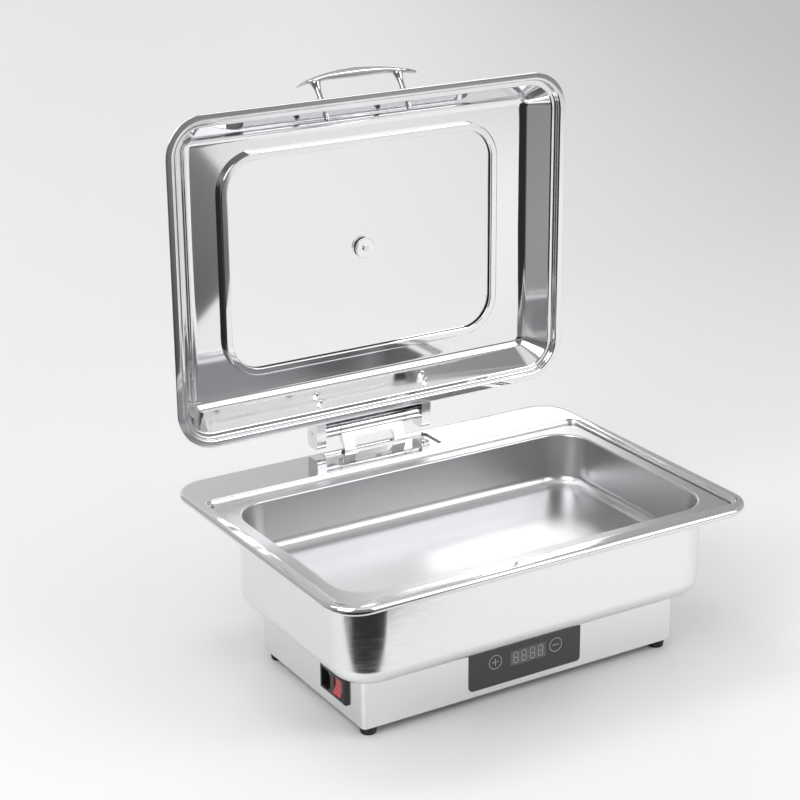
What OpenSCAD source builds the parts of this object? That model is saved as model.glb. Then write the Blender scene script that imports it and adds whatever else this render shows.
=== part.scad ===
// Electric chafing dish with a hinged glass-window lid, drawn with the lid open.
// Millimetres, +Z up, the control panel faces -Y.
// The origin is the middle of the base on the table.

/* [Food pan] */
// Length of the food pan over its flange
pan_l = 530; // [500:1:560]
// Width of the food pan over its flange
pan_w = 325; // [310:1:340]
// Depth of the food pan below its flange
pan_depth = 65; // [40:1:100]
// Width of the flange around the food pan's mouth
pan_flange = 18; // [17:0.5:24]
// Corner radius of the food pan's mouth
pan_mouth_r = 45; // [40:1:60]
// Radius between the food pan's walls and its floor
pan_floor_r = 15; // [8:1:20]
// How far the food pan's walls lean in over their depth
pan_draft = 4; // [1:0.5:6]
// Thickness of the food pan's sheet
pan_sheet = 1; // [0.6:0.1:1.2]
// Height of the flange's turned-down edge
pan_lip = 4; // [3:0.5:6]
// Corner radius of the flange
pan_flange_r = 10; // [6:1:16]
// Middle of the food pan, measured back from the middle of the base
pan_y = -5; // [-8:0.5:-4]

/* [Water pan] */
// Width of the rim beside the food pan
side_band = 19; // [17:0.5:30]
// Width of the rim in front of the food pan
front_band = 24; // [17:0.5:35]
// Width of the deck behind the food pan, which carries the hinge
rear_deck = 74.5; // [72:0.5:90]
// Corner radius of the rim
rim_r = 42; // [30:1:55]
// Diameter of the rim's rolled edge
roll_d = 10; // [6:0.5:12]
// Height of the rim's top above the food pan's flange
rim_rise = 5.5; // [5:0.5:10]
// Width of the upper step between the rim and the food pan
rim_step = 5; // [3:0.5:6]
// Width of the ledge that carries the food pan's flange
ledge = 15; // [12:0.5:16]
// Height from the water pan's underside to the rim's top
tank_h = 123.5; // [110:0.5:150]
// Corner radius of the water pan's walls
tank_r = 47; // [42:1:60]
// Radius between the water pan's walls and its floor
tank_floor_r = 22; // [12:1:24]
// Thickness of the water pan's sheet
tank_sheet = 1; // [0.8:0.1:1.2]
// Running gap around the food pan's flange
pan_gap = 1; // [0.5:0.1:1.5]

/* [Base] */
// Length of the base
base_l = 436; // [420:1:450]
// Width of the base
base_w = 242; // [238:1:244]
// Height of the base's walls
base_h = 64; // [62:1:90]
// Radius of the base's upright corners
base_r = 6; // [3:0.5:12]
// Thickness of the base's sheet
base_sheet = 1; // [0.8:0.1:1.5]
// Width of the base's inward flanges
base_flange = 10; // [9:0.5:14]
// Height of the rubber feet
foot_h = 12; // [8:1:20]
// Diameter of a foot where it meets the base
foot_d = 22; // [18:1:26]
// How far a foot's middle is in from the base's sides
foot_inset = 14; // [13:0.5:24]

/* [Lid] */
// Length of the lid over its flange
lid_l = 556; // [550:1:575]
// How far the closed lid's back edge is in front of the rim's
lid_set = 20; // [18:0.5:23]
// How far the closed lid stands out past the rim's front edge
lid_over = 3.5; // [0:0.5:8]
// Corner radius of the lid's flange
lid_r = 50; // [48:1:60]
// Height of the lid above its flange's underside
lid_h = 40; // [36:1:60]
// Width of the lid's flange
lid_flange = 10; // [8:0.5:11]
// Height of the raised step around the lid
lid_step = 7; // [6.5:0.5:9]
// Width of the raised step around the lid
lid_step_w = 8; // [7:0.5:10]
// Lean of the lid's walls, in degrees
lid_lean = 35; // [30:1:38]
// Radius of the lid's shoulder
lid_shoulder_r = 15; // [12:1:18]
// Thickness of the lid's sheet
lid_sheet = 1; // [0.8:0.1:1.2]
// Gap between the closed lid and the rim
seat_gap = 0.5; // [0.3:0.1:1]

/* [Window] */
// Width of the lid's steel at the sides of the window
window_side = 91.5; // [78:0.5:108]
// Width of the lid's steel in front of the window and behind it
window_band = 73.5; // [67:0.5:83]
// Corner radius of the window
window_r = 40; // [30:1:60]
// How far the window's middle is in front of the lid's middle
window_shift = 4; // [0:0.5:6]
// Thickness of the glass
glass_t = 4; // [3:0.5:5]
// How far the glass reaches under the ring
glass_edge = 8; // [6:0.5:9]
// Thickness of the gasket between glass and lid
gasket_t = 1.5; // [1:0.1:2]
// Thickness of the ring that holds the glass
ring_t = 2.4; // [1.6:0.1:3]
// Diameter of the washer and cap in the middle of the glass
button_d = 26; // [20:1:34]

/* [Handle] */
// Distance between the handle's posts
post_pitch = 115; // [100:1:130]
// Height of the grip's middle above the lid's wall
handle_h = 51; // [46:1:58]
// Length of the grip over its leaf ends
grip_l = 168; // [150:1:180]
// Depth of the grip at its middle
grip_d = 14; // [11:0.5:18]
// Thickness of the grip at its middle
grip_t = 11; // [9:0.5:14]

/* [Hinge] */
// How far the hinge axis is behind the closed lid
axis_back = 20; // [19:0.5:24]
// Height of the hinge axis above the closed lid's flange
axis_up = 26; // [24:0.5:32]
// Diameter of the barrel
barrel_d = 19; // [16:0.5:20]
// Diameter of the hinge pin
pin_d = 8; // [6:0.5:9]
// Radial clearance of the pin in the fixed barrel
pin_play = 0.05; // [0.02:0.01:0.1]
// Length of the fixed middle of the barrel
knuckle_l = 94; // [80:1:110]
// Distance between the ears
ear_gap = 141; // [130:1:150]
// Width of an ear
ear_w = 13; // [8:0.5:16]
// Thickness of the bracket's plate on the lid
bracket_t = 3; // [2:0.5:3.5]
// Length of the hinge's base plate
hinge_l = 150; // [140:1:160]
// Thickness of the hinge's base plate
hinge_t = 3; // [2:0.5:3]

/* [Controls] */
// Length of the control panel
panel_l = 156; // [140:1:175]
// Height of the control panel
panel_h = 54; // [50:0.5:54]
// Thickness of the control panel
panel_t = 1.5; // [1:0.1:2.5]
// Distance between the two touch keys
key_pitch = 85; // [80:1:95]
// Length of the inlet's frame
inlet_l = 57; // [54:0.5:64]
// Height of the inlet's frame
inlet_h = 33; // [31:0.5:38]
// Middle of the inlet in front of the base's middle
inlet_front = 58; // [50:1:66]
// Tilt of the rocker away from level, in degrees
rocker_tilt = 9; // [5:0.5:10]

/* [Hidden] */
$fn = 48;
// Heights of the stack, from the table up
base_top = foot_h + base_h;
rim_top = base_top + tank_h;
pan_top = rim_top - rim_rise;
ledge_z = pan_top - pan_lip;
lid_z = rim_top + seat_gap;

// Plan of the rim, the water pan's walls and the lid
rim_l = pan_l + 2*side_band;
rim_front = pan_y - pan_w/2 - front_band;
rim_back = pan_y + pan_w/2 + rear_deck;
rim_w = rim_back - rim_front;
rim_y = (rim_front + rim_back)/2;
tank_l = pan_l - 2*ledge + 2*tank_sheet;
tank_w = pan_w - 2*ledge + 2*tank_sheet;
mouth_l = pan_l - 2*pan_flange;
mouth_w = pan_w - 2*pan_flange;
lid_front = rim_front - lid_over;
lid_back = rim_back - lid_set;
lid_w = lid_back - lid_front;
lid_y = (lid_front + lid_back)/2;
axis_y = lid_back + axis_back;
axis_z = lid_z + axis_up;

// Bends of the pressed sheets, and the flat piece beside a bend
bend_r = 3;
lap = 2;
step_r = pan_flange_r + pan_gap;
// Bends of the lid's section
lid_in = lid_h - lid_sheet;
step_x = lid_r - lid_flange;
wall_x = step_x - lid_step_w + bend_r;
wall_rise = lid_in - lid_step - (lid_shoulder_r + bend_r)*(1 - sin(lid_lean));
shoulder_x = wall_x - (bend_r + lid_shoulder_r)*cos(lid_lean) - wall_rise*tan(lid_lean);
// Middle of the lid's wall on its outside, as distance from the flange's edge and height
wall_u = lid_r - wall_x + bend_r*cos(lid_lean) + wall_rise/2*tan(lid_lean) - lid_sheet*cos(lid_lean);
wall_v = lid_step + bend_r*(1 - sin(lid_lean)) + wall_rise/2 + lid_sheet*sin(lid_lean);
hem_w = 4;

// Stack of the window, down from the underside of the lid's top
gasket_z = lid_in - gasket_t;
glass_z = gasket_z - glass_t;
ring_z = glass_z - ring_t;
ring_wall = 1.2;
ring_fit = 0.3;
window_l = lid_l - 2*window_side;
window_w = lid_w - 2*window_band;
glass_l = window_l + 2*glass_edge;
glass_w = window_w + 2*glass_edge;
glass_r = window_r + glass_edge;
ring_l = glass_l + 2*ring_fit + 2*ring_wall;
ring_w = glass_w + 2*ring_fit + 2*ring_wall;
ring_r = glass_r + ring_fit + ring_wall;
button_t = 3;
seal_t = 0.8;
glass_hole_d = 7;
cap_h = 9;

// Fasteners: screw and nut sizes by thread
m4_r = 2;
m5_r = 2.5;
nut_h = 3.2;
nut_r = 4;
head_h = 2.2;
head_r = 3.8;
hole_play = 0.2;
thread_play = 0.03;

// Hinge pocket in the rear deck
pocket_play = 0.6;
pocket_d = hinge_t + head_h + 0.8;
pocket_l = hinge_l + 2*pocket_play;
pocket_back = rim_back - roll_d;
pocket_front = pan_y + pan_w/2 + 20;
pocket_w = pocket_back - pocket_front;
pocket_y = (pocket_back + pocket_front)/2;
pocket_r = 5;
pocket_z = rim_top - pocket_d;
hinge_w = pocket_w - 2*pocket_play;
hinge_top = pocket_z + hinge_t;
ear_r = barrel_d/2 + 3;
ear_tail = 7;
ear_round = 6;
sleeve_gap = 0.6;
saddle_l = knuckle_l - 4;
hinge_screw_x = [0.4*hinge_l, 14];
hinge_screw_y = [pocket_y, pocket_front + 9];
bracket_w = 20;
web_t = 1.6;
bracket_screw_pitch = 12;
bracket_screw_x = ear_gap/2 + ear_w/2;

// Base fittings
inner_l = base_l - 2*base_sheet;
inner_w = base_w - 2*base_sheet;
floor_top = foot_h + 2*base_sheet;
plate_l = inner_l - 4;
plate_w = inner_w - 4;
foot_x = base_l/2 - foot_inset;
foot_y = base_w/2 - foot_inset;
foot_head_h = 5;
stud_x = base_l/2 - base_sheet - 0.5*base_flange;
stud_y = base_w/4;
stud_l = 14;
rivet_x = [0.18*base_l, 0.36*base_l];

// Heater under the water pan
heater_l = 300;
heater_w = 150;
heater_t = 4;
heater_z = base_top - heater_t;
tube_r = 4;
tube_bend = 17;
tube_run = 220;
tube_z = heater_z - tube_r;
terminal_l = 40;
strap_w = 14;
strap_t = 1.6;
strap_x = 60;
strap_z = tube_z - tube_r - strap_t;
shield_l = 320;
shield_w = 172;
shield_t = 0.8;
shield_z = base_top - 30;
spacer_r = 4;
spacer_x = 0.47*heater_l;
spacer_y = 0.44*heater_w;

// Control board behind the front wall
front_in = -base_w/2 + base_sheet;
board_gap = 7;
board_t = 1.6;
board_l = 146;
board_h = 42;
panel_z = foot_h + 8 + panel_h/2;
board_y = front_in + board_gap;
display_l = 50;
display_h = 19;
key_z = panel_z + 3;
key_r = 4.5;
key_hole_r = 7;
post_inset = 5;

// Power board on the bottom plate
power_l = 118;
power_w = 78;
power_side = 35;
power_x = power_side + power_l/2 - base_l/2;
power_y = 56;
standoff_h = 8;
power_z = floor_top + standoff_h;

// Inlet and rocker in the left wall
inlet_x = -base_l/2;
inlet_y = -inlet_front;
inlet_z = panel_z - 3;
inlet_lip = 5;
inlet_body_l = inlet_l - 7;
inlet_body_h = inlet_h - 6;
inlet_depth = 30;
socket_l = 20;
socket_h = 24;
pin_places = [[3, -7], [3, 7], [-4, 0]];
socket_depth = 17;
socket_y = inlet_y + inlet_body_l/2 - socket_l/2 - 1.5;
rocker_l = 22;
rocker_w = 16;
rocker_depth = 7;
rocker_play = 0.5;
rocker_y = inlet_y - inlet_body_l/2 + rocker_w/2 + 3;
rocker_x = inlet_x + 1.5;
trunnion_r = 1.5;
trunnion_l = 1.2;
trunnion_play = 0.05;

// Points of an arc, from one angle to another
function arc(x, y, r, from, to, n = 5) =
    [for (i = [0:n]) let (a = from + (to - from)*i/n) [x + r*cos(a), y + r*sin(a)]];

// Unit normal to the left of a step from a to b
function left_of(a, b) = [a[1] - b[1], b[0] - a[0]]/norm(b - a);

// A path moved to its left by t, with mitred corners
function beside(path, t) =
    let (last = len(path) - 1)
    [for (i = [0:last])
        let (n0 = left_of(path[max(i - 1, 0)], path[max(i, 1)]),
             n1 = left_of(path[min(i, last - 1)], path[min(i + 1, last)]),
             m = n0 + n1)
        path[i] + 2*t*m/(m*m)];

// Outline of a bent sheet: a path and the same path at one thickness
function sheet(path, t) =
    let (other = beside(path, t), last = len(path) - 1)
    concat(path, [for (i = [last:-1:0]) other[i]]);

// Rectangle with round corners, about its middle
module round_rect(l, w, r) {
    square([l - 2*r, w], center = true);
    square([l, w - 2*r], center = true);
    for (x = [-1, 1], y = [-1, 1])
        translate([x*(l/2 - r), y*(w/2 - r)]) circle(r);
}

// Section carried round a rounded rectangle; its x is counted out from the corner's centre
module loop(l, w, r) {
    for (c = [[1, 1, 0], [-1, 1, 90], [-1, -1, 180], [1, -1, 270]])
        translate([c[0]*(l/2 - r), c[1]*(w/2 - r), 0])
            rotate([0, 0, c[2]]) rotate_extrude(angle = 90) children();
    for (turn = [0, 180]) rotate([0, 0, turn]) {
        translate([l/2 - r, w/2 - r, 0])
            rotate([90, 0, 0]) linear_extrude(w - 2*r) children();
        translate([r - l/2, w/2 - r, 0])
            rotate([90, 0, 90]) linear_extrude(l - 2*r) children();
    }
}

// One copy at each corner of a rectangle
module four(x, y) {
    for (i = [-1, 1], j = [-1, 1]) translate([i*x, j*y, 0]) children();
}

module tube(r, bore, h) {
    difference() {
        cylinder(r = r, h = h);
        translate([0, 0, -1]) cylinder(r = bore, h = h + 2);
    }
}

// Pan-head screw pointing down from z = 0, its head above
module screw(r, l) {
    translate([0, 0, -l]) cylinder(r = r, h = l);
    cylinder(r = head_r, h = head_h);
}

// Hexagon nut standing on z = 0
module nut(r) {
    difference() {
        cylinder(r = nut_r*r/m4_r*0.95, h = nut_h, $fn = 6);
        translate([0, 0, -1]) cylinder(r = r + thread_play, h = nut_h + 2);
    }
}

// Acorn nut standing on z = 0
module acorn_nut(r, depth) {
    dome_r = nut_r*0.82;
    difference() {
        union() {
            cylinder(r = nut_r, h = nut_h, $fn = 6);
            translate([0, 0, nut_h]) cylinder(r = dome_r, h = depth - nut_h);
            translate([0, 0, depth]) intersection() {
                sphere(dome_r);
                translate([0, 0, dome_r/2]) cube([2*dome_r, 2*dome_r, dome_r], center = true);
            }
        }
        translate([0, 0, -1]) cylinder(r = r + thread_play, h = depth + 1);
    }
}

// The closed lid's pieces turned up about the hinge axis
module opened() {
    translate([0, axis_y, axis_z]) rotate([-90, 0, 0])
        translate([0, -axis_y, -axis_z]) children();
}

// Frame on the outside of the lid's front (-1) or rear (1) wall, with +Z straight out of it
module on_wall(side) {
    translate([0, side < 0 ? lid_front + wall_u : lid_back - wall_u, lid_z + wall_v])
        rotate([-side*(90 - lid_lean), 0, 0]) children();
}

// Point on the lid's rear wall: v down along it, n out of it
function rear_wall(v, n) =
    [lid_back - wall_u + v*sin(lid_lean) + n*cos(lid_lean),
     lid_z + wall_v - v*cos(lid_lean) + n*sin(lid_lean)];

// Outline in the Y-Z plane made solid along X from x0 over a length
module along_x(x0, l) {
    translate([x0, 0, 0]) rotate([90, 0, 90]) linear_extrude(l) children();
}

// Frame at the middle of the window with +Z up through the closed lid
module at_window() {
    translate([0, lid_y - window_shift, lid_z]) children();
}

// Base

module base_housing() {
    color("silver") difference() {
        translate([0, 0, foot_h]) linear_extrude(base_h) round_rect(base_l, base_w, base_r);
        translate([0, 0, foot_h + base_sheet]) linear_extrude(base_h - 2*base_sheet)
            round_rect(inner_l, inner_w, base_r - base_sheet);
        translate([0, 0, foot_h - 1]) linear_extrude(base_h + 2)
            round_rect(base_l - 2*base_flange - 2*base_sheet, base_w - 2*base_flange - 2*base_sheet,
                       base_r - base_sheet);
        four(stud_x, stud_y) translate([0, 0, base_top - 2*base_sheet])
            cylinder(r = m5_r + hole_play, h = 3*base_sheet);
        four(foot_x, foot_y) translate([0, 0, foot_h - 1]) cylinder(r = m4_r + hole_play, h = 3);
        for (x = rivet_x) four(x, base_w/2 - base_sheet - base_flange/2)
            translate([0, 0, foot_h - 1]) cylinder(r = m4_r + hole_play, h = 3);
        // Openings behind the panel, and the inlet's cut-out
        translate([0, -base_w/2 - 1, panel_z]) rotate([-90, 0, 0]) linear_extrude(base_sheet + 2) {
            square([display_l + 2, display_h + 2], center = true);
            for (x = [-1, 1]) translate([x*key_pitch/2, panel_z - key_z]) circle(key_hole_r);
        }
        translate([inlet_x - 1, inlet_y, inlet_z]) rotate([90, 0, 90]) linear_extrude(base_sheet + 2)
            square([inlet_body_l + 2*hole_play, inlet_body_h + 2*hole_play], center = true);
    }
}

module bottom_plate() {
    slot_l = 60;
    slot_w = 4;
    slot_pitch = 12;
    color("lightgray") translate([0, 0, foot_h + base_sheet]) linear_extrude(base_sheet) difference() {
        round_rect(plate_l, plate_w, base_r - base_sheet);
        for (x = [-1, 1], i = [-2:2]) translate([x*plate_l/4, -plate_w/5 + i*slot_pitch]) {
            square([slot_l, slot_w], center = true);
            for (e = [-1, 1]) translate([e*slot_l/2, 0]) circle(slot_w/2);
        }
        for (i = [-1, 1], j = [-1, 1]) {
            translate([i*foot_x, j*foot_y]) circle(m4_r + hole_play);
            translate([power_x + i*(power_l/2 - post_inset), power_y + j*(power_w/2 - post_inset)])
                circle(m4_r + hole_play);
            for (x = rivet_x)
                translate([i*x, j*(base_w/2 - base_sheet - base_flange/2)]) circle(m4_r + hole_play);
        }
    }
}

module bottom_screws() {
    color("gainsboro") for (x = rivet_x) four(x, base_w/2 - base_sheet - base_flange/2)
        translate([0, 0, foot_h]) rotate([180, 0, 0]) screw(m4_r, 6);
}

module rubber_feet() {
    foot_tip_d = foot_d - 4;
    color("dimgray") four(foot_x, foot_y) difference() {
        cylinder(d1 = foot_tip_d, d2 = foot_d, h = foot_h);
        translate([0, 0, -1]) cylinder(r = head_r + 0.6, h = foot_head_h + 1);
        translate([0, 0, -1]) cylinder(r = m4_r + hole_play, h = foot_h + 2);
    }
}

module foot_screws() {
    color("gainsboro") four(foot_x, foot_y) translate([0, 0, foot_head_h])
        rotate([180, 0, 0]) screw(m4_r, floor_top + nut_h + 1 - foot_head_h);
}

module foot_nuts() {
    color("gainsboro") four(foot_x, foot_y) translate([0, 0, floor_top]) nut(m4_r);
}

// Controls

module control_panel() {
    color("black") translate([0, -base_w/2, panel_z]) rotate([90, 0, 0]) linear_extrude(panel_t)
        round_rect(panel_l, panel_h, 5);
}

module control_board() {
    color("darkgreen") translate([0, board_y, panel_z]) rotate([-90, 0, 0]) linear_extrude(board_t)
        difference() {
            square([board_l, board_h], center = true);
            for (x = [-1, 1], z = [-1, 1])
                translate([x*(board_l/2 - post_inset), z*(board_h/2 - post_inset)])
                    circle(m4_r*0.75 + hole_play);
        }
}

module display_module() {
    color("gray") translate([-display_l/2, -base_w/2, panel_z - display_h/2])
        cube([display_l, base_sheet + board_gap, display_h]);
}

module touch_springs() {
    color("goldenrod") for (x = [-1, 1])
        translate([x*key_pitch/2, -base_w/2, key_z]) rotate([-90, 0, 0])
            tube(key_r, key_r - 1, base_sheet + board_gap);
}

// One copy at each corner of the control board, pointing into the base from the front wall
module board_corners() {
    for (x = [-1, 1], z = [-1, 1])
        translate([x*(board_l/2 - post_inset), front_in, panel_z + z*(board_h/2 - post_inset)])
            rotate([-90, 0, 0]) children();
}

module board_posts() {
    color("gainsboro") board_corners() tube(3.2, m4_r*0.75 + thread_play, board_gap);
}

module board_screws() {
    screw_r = m4_r*0.75;
    color("gainsboro") board_corners() {
        translate([0, 0, 1]) cylinder(r = screw_r, h = board_gap + board_t - 1);
        translate([0, 0, board_gap + board_t]) cylinder(r = 2.8, h = 1.8);
    }
}

module power_inlet() {
    lip_edge = 2;
    color("black") difference() {
        union() {
            // Bevelled frame outside the wall
            translate([inlet_x, inlet_y, inlet_z]) rotate([0, -90, 0]) hull() {
                linear_extrude(inlet_lip - lip_edge) square([inlet_h, inlet_l], center = true);
                linear_extrude(inlet_lip)
                    square([inlet_h - 2*lip_edge, inlet_l - 2*lip_edge], center = true);
            }
            translate([inlet_x, inlet_y - inlet_body_l/2, inlet_z - inlet_body_h/2])
                cube([inlet_depth, inlet_body_l, inlet_body_h]);
        }
        // Appliance socket with two cut corners
        translate([inlet_x - inlet_lip - 1, socket_y, inlet_z]) rotate([90, 0, 90])
            linear_extrude(inlet_lip + 1 + socket_depth)
                polygon([[socket_l/2, -socket_h/2], [socket_l/2, socket_h/2],
                         [5 - socket_l/2, socket_h/2], [-socket_l/2, socket_h/2 - 5],
                         [-socket_l/2, 5 - socket_h/2], [5 - socket_l/2, -socket_h/2]]);
        // Well and pivot holes of the rocker
        translate([inlet_x - inlet_lip - 1, rocker_y - rocker_w/2 - rocker_play,
                   inlet_z - rocker_l/2 - rocker_play])
            cube([inlet_lip + 1 + 13, rocker_w + 2*rocker_play, rocker_l + 2*rocker_play]);
        translate([rocker_x, rocker_y - rocker_w/2 - rocker_play - trunnion_l, inlet_z])
            rotate([-90, 0, 0])
                cylinder(r = trunnion_r + trunnion_play, h = rocker_w + 2*(rocker_play + trunnion_l));
        for (p = pin_places) pin_at(p)
            cube([2*inlet_depth + 2, 2 + 2*hole_play, 4 + 2*hole_play], center = true);
    }
}

// Frame at a socket pin, given as [along the wall, up]
module pin_at(p) {
    translate([inlet_x, socket_y + p[0], inlet_z + p[1]]) children();
}

module inlet_pins() {
    pin_from = 3;
    pin_to = inlet_depth + 8;
    color("gold") for (p = pin_places) pin_at(p)
        translate([(pin_from + pin_to)/2, 0, 0]) cube([pin_to - pin_from, 2, 4], center = true);
}

module rocker_switch() {
    crown = 2;
    color("crimson") translate([rocker_x, rocker_y, inlet_z]) rotate([0, rocker_tilt, 0]) {
        translate([0, rocker_w/2, 0]) rotate([90, 0, 0]) linear_extrude(rocker_w)
            polygon([[-inlet_lip - crown, -rocker_l/2 + 1.2], [-inlet_lip, 0],
                     [-inlet_lip - crown, rocker_l/2 - 1.2], [0, rocker_l/2 - 0.4],
                     [rocker_depth, rocker_l/4], [rocker_depth, -rocker_l/4],
                     [0, -rocker_l/2 + 0.4]]);
        translate([0, -rocker_w/2 - rocker_play - trunnion_l + 0.3, 0]) rotate([-90, 0, 0])
            cylinder(r = trunnion_r, h = rocker_w + 2*(rocker_play + trunnion_l - 0.3));
    }
}

module power_board() {
    color("darkgreen") translate([power_x, power_y, power_z]) linear_extrude(board_t) difference() {
        square([power_l, power_w], center = true);
        for (x = [-1, 1], y = [-1, 1])
            translate([x*(power_l/2 - post_inset), y*(power_w/2 - post_inset)])
                circle(m4_r + hole_play);
    }
}

// Box standing on the power board, placed by its middle
module on_power_board(x, y) {
    translate([power_x + x, power_y + y, power_z + board_t]) children();
}

module relay() {
    color("royalblue") on_power_board(-30, -20) linear_extrude(16) square([29, 13], center = true);
}

module transformer() {
    color("gold") on_power_board(22, -12) {
        linear_extrude(19) square([32, 16], center = true);
        translate([0, 0, 3]) linear_extrude(13) square([20, 27], center = true);
    }
}

module capacitor() {
    color("darkslategray") on_power_board(-4, -22) cylinder(r = 5, h = 15);
}

module terminal_block() {
    ways = 5;
    way_w = 9;
    color("whitesmoke") on_power_board(-8, 27) difference() {
        translate([-ways*way_w/2, -6, 0]) cube([ways*way_w, 12, 14]);
        for (i = [0:ways - 1]) translate([(i - (ways - 1)/2)*way_w, 0, 6]) cylinder(r = 2.4, h = 10);
    }
}

// One copy at each corner of the power board, on the bottom plate
module power_corners() {
    translate([power_x, power_y, floor_top]) four(power_l/2 - post_inset, power_w/2 - post_inset)
        children();
}

module power_standoffs() {
    color("gainsboro") power_corners() tube(4, m4_r + thread_play, standoff_h);
}

module power_screws() {
    color("gainsboro") power_corners() {
        translate([0, 0, standoff_h + board_t]) screw(m4_r, board_t + standoff_h/2 - 1);
        translate([0, 0, -base_sheet]) rotate([180, 0, 0]) screw(m4_r, base_sheet + standoff_h/2 - 1);
    }
}

// Water pan and heater

// Section of the rim's rolled edge
function roll_path() = concat(
    [[rim_r - roll_d, rim_top]],
    arc(rim_r - roll_d/2, rim_top - roll_d/2, roll_d/2, 90, -120, 10));

// Section of the two steps from the rim down to the ledge
function step_path() =
    let (r = step_r, mid = rim_top - rim_rise/2)
    [[r + rim_step + lap, rim_top], [r + rim_step, rim_top], [r + rim_step, mid], [r, mid],
     [r, ledge_z], [r - lap, ledge_z]];

// Inside of the tank, from the ledge down to the floor
function tank_path() =
    let (r = tank_r - tank_sheet)
    concat([[r + bend_r + lap, ledge_z]],
           arc(r + bend_r, ledge_z - bend_r, bend_r, 90, 180),
           arc(tank_r - tank_floor_r, base_top + tank_floor_r, tank_floor_r - tank_sheet, 0, -90, 6),
           [[tank_r - tank_floor_r - lap, base_top + tank_sheet]]);

module water_pan() {
    deck_in = 2*(pan_gap + rim_step + lap);
    ledge_out = 2*(pan_gap - lap);
    ledge_in = 2*(bend_r + lap - tank_sheet);
    pocket_out = 2*tank_sheet;
    floor_in = 2*(tank_floor_r + lap);
    color("silver") {
        // Rim with its rolled edge, the deck, and the hinge pocket in it
        translate([0, rim_y, 0]) loop(rim_l, rim_w, rim_r) polygon(sheet(roll_path(), -tank_sheet));
        translate([0, 0, rim_top - tank_sheet]) linear_extrude(tank_sheet) difference() {
            translate([0, rim_y]) round_rect(rim_l - 2*roll_d, rim_w - 2*roll_d, rim_r - roll_d);
            translate([0, pan_y]) round_rect(pan_l + deck_in, pan_w + deck_in, step_r + rim_step + lap);
            translate([0, pocket_y])
                round_rect(pocket_l + pocket_out, pocket_w + pocket_out, pocket_r + tank_sheet);
        }
        translate([0, pocket_y, pocket_z - tank_sheet]) difference() {
            linear_extrude(pocket_d + tank_sheet)
                round_rect(pocket_l + pocket_out, pocket_w + pocket_out, pocket_r + tank_sheet);
            translate([0, 0, tank_sheet]) linear_extrude(pocket_d + 1)
                round_rect(pocket_l, pocket_w, pocket_r);
            translate([0, -pocket_y, -1]) hinge_screw_places() cylinder(r = m4_r + hole_play, h = 3);
        }
        translate([0, pan_y, 0]) {
            // Steps down to the ledge
            loop(pan_l + 2*pan_gap, pan_w + 2*pan_gap, step_r) polygon(sheet(step_path(), tank_sheet));
            translate([0, 0, ledge_z - tank_sheet]) linear_extrude(tank_sheet) difference() {
                round_rect(pan_l + ledge_out, pan_w + ledge_out, step_r - lap);
                round_rect(tank_l + ledge_in, tank_w + ledge_in, tank_r - tank_sheet + bend_r + lap);
            }
            // Walls and floor
            loop(tank_l, tank_w, tank_r) polygon(sheet(tank_path(), tank_sheet));
            translate([0, 0, base_top]) linear_extrude(tank_sheet)
                round_rect(tank_l - floor_in, tank_w - floor_in, tank_r - floor_in/2);
        }
    }
}

module pan_studs() {
    color("gainsboro") four(stud_x, stud_y) translate([0, 0, base_top - stud_l])
        cylinder(r = m5_r, h = stud_l);
}

module pan_nuts() {
    color("gainsboro") four(stud_x, stud_y) translate([0, 0, base_top - base_sheet - nut_h])
        difference() {
            cylinder(r = nut_r, h = nut_h, $fn = 6);
            translate([0, 0, -1]) cylinder(r = m5_r + thread_play, h = nut_h + 2);
        }
}

module heater_plate() {
    color("lightsteelblue") translate([0, 0, heater_z]) difference() {
        linear_extrude(heater_t) round_rect(heater_l, heater_w, 12);
        strap_screw_places() translate([0, 0, -1]) cylinder(r = m4_r + thread_play, h = heater_t);
        four(spacer_x, spacer_y) translate([0, 0, -1]) cylinder(r = m4_r + thread_play, h = heater_t);
    }
}

// Tube in four runs joined by three bends, with a terminal at each end
module heating_element() {
    color("dimgray") translate([0, 0, tube_z]) {
        for (i = [-3, -1, 1, 3]) translate([-tube_run/2, i*tube_bend, 0]) rotate([0, 90, 0])
            cylinder(r = tube_r, h = tube_run);
        for (i = [-2, 2]) translate([tube_run/2, i*tube_bend, 0]) rotate([0, 0, -90])
            rotate_extrude(angle = 180) translate([tube_bend, 0]) circle(tube_r);
        translate([-tube_run/2, 0, 0]) rotate([0, 0, 90])
            rotate_extrude(angle = 180) translate([tube_bend, 0]) circle(tube_r);
        for (i = [-3, 3]) translate([-tube_run/2, i*tube_bend, 0]) rotate([0, -90, 0]) {
            cylinder(r = tube_r, h = terminal_l/2);
            cylinder(r = tube_r - 0.8, h = terminal_l*0.75);
            cylinder(r = 1.6, h = terminal_l);
        }
    }
}

module strap_screw_places() {
    four(strap_x, 2*tube_bend) children();
}

module element_straps() {
    strap_l = 6*tube_bend + 4*tube_r;
    color("gainsboro") for (x = [-1, 1]) translate([x*strap_x, 0, strap_z]) linear_extrude(strap_t)
        difference() {
            square([strap_w, strap_l], center = true);
            for (y = [-1, 1]) translate([0, y*2*tube_bend]) circle(m4_r + hole_play);
        }
}

module strap_screws() {
    color("gainsboro") strap_screw_places() translate([0, 0, strap_z]) rotate([180, 0, 0])
        screw(m4_r, heater_z + heater_t/2 - strap_z);
}

module thermostat() {
    color("ivory") translate([0, 0, heater_z]) {
        translate([0, 0, -9]) cylinder(r = 8, h = 9);
        translate([0, 0, -1]) linear_extrude(1) square([24, 10], center = true);
        for (x = [-1, 1]) translate([x*4 - 0.4, -3, -16]) cube([0.8, 6, 7]);
    }
}

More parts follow.
